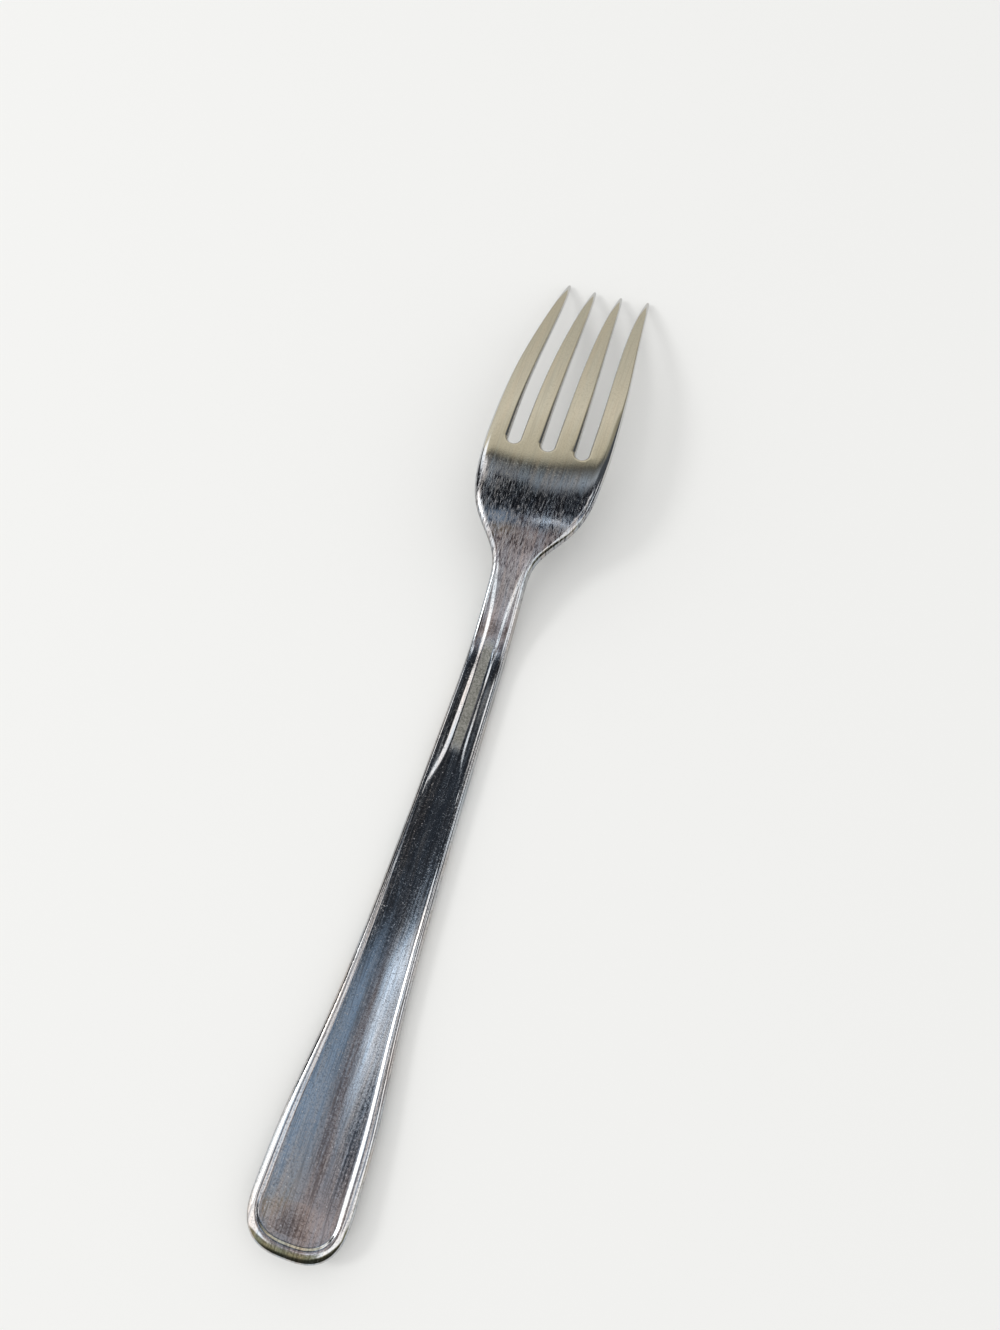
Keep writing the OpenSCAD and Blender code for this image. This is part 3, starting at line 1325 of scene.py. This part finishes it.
@dataclass
class Studio:
    """The table, the light and the camera, with their sizes in metres."""

    table_colour: str = "#F1F1EF"
    table_roughness: float = 0.9
    table_size: float = 4.0
    # Camera, set as the photograph was taken
    eye: Vector = field(default_factory=lambda: Vector((0.0299, -0.0418, 0.1803)))
    view: Vector = field(default_factory=lambda: Vector((-0.1440, 0.2720, -0.9515)))
    up: Vector = field(default_factory=lambda: Vector((-0.2709, 0.9142, 0.3013)))
    focal_pixels: float = 1000.0
    image_height: float = 1330.0
    sensor: float = 36.0
    nearest: float = 0.01
    # Lamp, and the plain light that falls from all sides
    key_from: Vector = field(default_factory=lambda: Vector((-0.75, -0.17, 0.64)))
    key_distance: float = 1.4
    key_size: float = 0.34
    key_power: float = 3.5
    fill_colour: str = "#FFFFFF"
    fill_strength: float = 0.895
    # Room that the steel mirrors: its ceiling from near to far, ends first
    room_strength: float = 1.75
    room_turn: float = 17.5
    ceiling: tuple[tuple[float, str], ...] = (
        (-1.00, "#26261E"), (1.00, "#A8A290"), (-0.75, "#2E2E24"), (-0.60, "#8A866A"),
        (-0.42, "#7E7A66"), (-0.28, "#969092"), (-0.105, "#A29898"), (-0.05, "#8894A0"),
        (-0.005, "#727D8A"), (0.045, "#2E3238"), (0.22, "#202328"), (0.32, "#949AA0"),
        (0.45, "#403E38"), (0.50, "#B0A994"), (0.66, "#C4BDAA"),
    )
    # A later card lies over the ones before it
    cards: tuple[Card, ...] = (
        Card("window", "#FFFFFF", (-1.15, 0.10), (0.77, 0.50), 0.06),
        Card("dark wall", "#26282C", (-0.96, 0.44), (0.29, 0.20), 0.08),
        Card("near wall", "#FFFFFF", (0.30, -0.48), (0.38, 0.16), 0.12),
        Card("far wall", "#3E4146", (0.75, 0.08), (0.45, 0.33), 0.2),
        Card("side window", "#FFFFFF", (0.80, -0.20), (0.08, 0.27), 0.25),
        Card("corner", "#86806E", (0.75, 0.65), (0.40, 0.25), 0.2),
        Card("dark crest", "#26282C", (-0.42, 0.22), (0.09, 0.09), 0.1),
        Card("dark bead", "#2A2C30", (-0.64, 0.33), (0.06, 0.07), 0.15),
        Card("crest", "#FFFFFF", (-0.355, 0.36), (0.095, 0.06), 0.2),
        Card("lamp", "#FFFFFF", (0.40, -0.03), (0.08, 0.145), 0.12),
        Card("ledge", "#FFFFFF", (0.18, -0.05), (0.17, 0.03), 0.3),
        Card("haze", "#8C9CB0", (0.45, -0.25), (0.14, 0.05), 0.3),
        Card("dim side", "#3A3E44", (0.37, -0.10), (0.065, 0.06), 0.3),
        Card("pane", "#FFFFFF", (0.37, -0.216), (0.10, 0.032), 0.3),
        Card("seam", "#202024", (0.02, -0.26), (0.06, 0.12), 0.3),
        Card("sky", "#E6F2FF", (-0.06, -0.018), (0.07, 0.024), 0.35, 1.6),
        Card("dusk", "#8294A8", (-0.27, 0.008), (0.05, 0.05), 0.5),
        Card("warm wall", "#8E8478", (-0.28, -0.085), (0.05, 0.035), 0.4),
        Card("shade", "#262C36", (-0.05, -0.064), (0.065, 0.04), 0.4),
        Card("gap", "#625A5C", (-0.17, -0.035), (0.026, 0.055), 0.5),
        Card("trough", "#202226", (-0.16, 0.285), (0.07, 0.045), 0.3),
        Card("tongue", "#5C5250", (-0.225, -0.165), (0.03, 0.04), 0.4),
        Card("gleam", "#F2EEF4", (-0.18, -0.28), (0.035, 0.045), 0.6),
        Card("rim light", "#FFFFFF", (-0.06, -0.39), (0.07, 0.03), 0.3),
        Card("glint", "#FFFFFF", (0.17, -0.24), (0.07, 0.08), 0.3),
    )

    def build(self) -> None:
        """Set out the table, the lamp, the surroundings and the camera."""
        self.lay_table()
        self.hang_key()
        self.surround()
        self.set_camera()
        bpy.context.scene.view_settings.view_transform = "Standard"

    def lay_table(self) -> None:
        """Lay the plain pale table top."""
        bm = bmesh.new()
        bmesh.ops.create_grid(bm, x_segments=1, y_segments=1, size=self.table_size / 2)
        mesh = bpy.data.meshes.new("table")
        bm.to_mesh(mesh)
        bm.free()
        # Matt paint has no gloss, so the table shows only the shadow
        made = bpy.data.materials.new("Matt paint, pale")
        made.use_nodes = True
        shader = made.node_tree.nodes["Principled BSDF"]
        shader.inputs["Base Color"].default_value = linear(self.table_colour)
        shader.inputs["Roughness"].default_value = self.table_roughness
        shader.inputs["Specular IOR Level"].default_value = 0.0
        mesh.materials.append(made)
        table = bpy.data.objects.new("table", mesh)
        bpy.context.scene.collection.objects.link(table)

    def hang_key(self) -> None:
        """Hang the window-like lamp that casts the soft shadow to the right."""
        lamp = bpy.data.lights.new("window", "AREA")
        lamp.shape = "DISK"
        lamp.size = self.key_size
        lamp.energy = self.key_power
        key = bpy.data.objects.new("window", lamp)
        towards = self.key_from.normalized()
        key.location = towards * self.key_distance
        key.rotation_euler = towards.to_track_quat("Z", "Y").to_euler()
        bpy.context.scene.collection.objects.link(key)

    def surround(self) -> None:
        """Light the table evenly and give the steel a room to mirror."""
        world = bpy.data.worlds.new("room")
        bpy.context.scene.world = world
        world.use_nodes = True
        tree = world.node_tree
        tree.nodes.clear()
        towards = add_node(tree, "ShaderNodeMapping", {
            "Vector": add_node(tree, "ShaderNodeTexCoord").outputs["Generated"],
            "Rotation": (0.0, 0.0, -math.radians(self.room_turn)),
        }).outputs["Vector"]
        axes = add_node(tree, "ShaderNodeSeparateXYZ", {"Vector": towards})
        whole = add_node(tree, "ShaderNodeValToRGB", {
            "Fac": add_node(tree, "ShaderNodeMapRange", {
                "Value": axes.outputs["Y"], "From Min": -1.0, "From Max": 1.0,
            }).outputs["Result"],
        }, stops=[
            (0.5 + place / 2, linear(colour)) for place, colour in self.ceiling
        ]).outputs["Color"]
        for card in self.cards:
            whole = self.pin_card(tree, card, towards, whole)
        path = add_node(tree, "ShaderNodeLightPath")
        room = add_node(tree, "ShaderNodeBackground", {
            "Color": whole, "Strength": self.room_strength,
        })
        plain = add_node(tree, "ShaderNodeBackground", {
            "Color": linear(self.fill_colour), "Strength": self.fill_strength,
        })
        both = add_node(tree, "ShaderNodeMixShader", {
            "Fac": path.outputs["Is Glossy Ray"],
            1: plain.outputs["Background"],
            2: room.outputs["Background"],
        })
        add_node(tree, "ShaderNodeOutputWorld", {"Surface": both.outputs["Shader"]})

    @staticmethod
    def pin_card(
        tree: bpy.types.NodeTree,
        card: Card,
        towards: bpy.types.NodeSocket,
        behind: bpy.types.NodeSocket,
    ) -> bpy.types.NodeSocket:
        """Pin a card up in the room.

        Args:
            tree: The world's nodes.
            card: The card.
            towards: The direction that is looked in.
            behind: Colour of the room behind the card.

        Returns:
            Colour of the room with the card.
        """
        (right, far), (width, depth) = card.middle, card.reach
        shares = add_node(tree, "ShaderNodeVectorMath", {
            0: add_node(tree, "ShaderNodeMapping", {
                "Vector": towards,
                "Location": (-right / width, -far / depth, 0.0),
                "Scale": (1 / width, 1 / depth, 0.0),
            }).outputs["Vector"],
        }, operation="ABSOLUTE").outputs["Vector"]
        axes = add_node(tree, "ShaderNodeSeparateXYZ", {"Vector": shares})
        return add_node(tree, "ShaderNodeMix", {
            "Factor": add_node(tree, "ShaderNodeMapRange", {
                "Value": add_node(tree, "ShaderNodeMath", {
                    0: axes.outputs["X"], 1: axes.outputs["Y"],
                }, operation="MAXIMUM").outputs["Value"],
                "From Min": 1 + card.softness, "From Max": 1 - card.softness,
            }, interpolation_type="SMOOTHSTEP").outputs["Result"],
            "A": behind,
            "B": [card.glow * value for value in linear(card.colour)],
        }, data_type="RGBA", label=card.name).outputs["Result"]

    def set_camera(self) -> None:
        """Set the camera at the photograph's viewing angle."""
        view = self.view.normalized()
        right = view.cross(self.up).normalized()
        up = right.cross(view)
        lens = bpy.data.cameras.new("camera")
        lens.sensor_width = self.sensor
        lens.lens = self.focal_pixels / self.image_height * self.sensor
        lens.clip_start = self.nearest
        camera = bpy.data.objects.new("camera", lens)
        turn = Matrix((right, up, -view)).transposed().to_4x4()
        camera.matrix_world = Matrix.Translation(self.eye) @ turn
        bpy.context.scene.collection.objects.link(camera)
        bpy.context.scene.camera = camera


def main() -> None:
    """Build the fork and the studio, and note the size of the model."""
    logging.basicConfig(level=logging.INFO, format="%(name)s: %(message)s")
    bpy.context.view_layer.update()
    for piece in Fork().build():
        log.info("%s: %d faces", piece.name, len(piece.data.polygons))
    Studio().build()


if __name__ == "__main__":
    main()
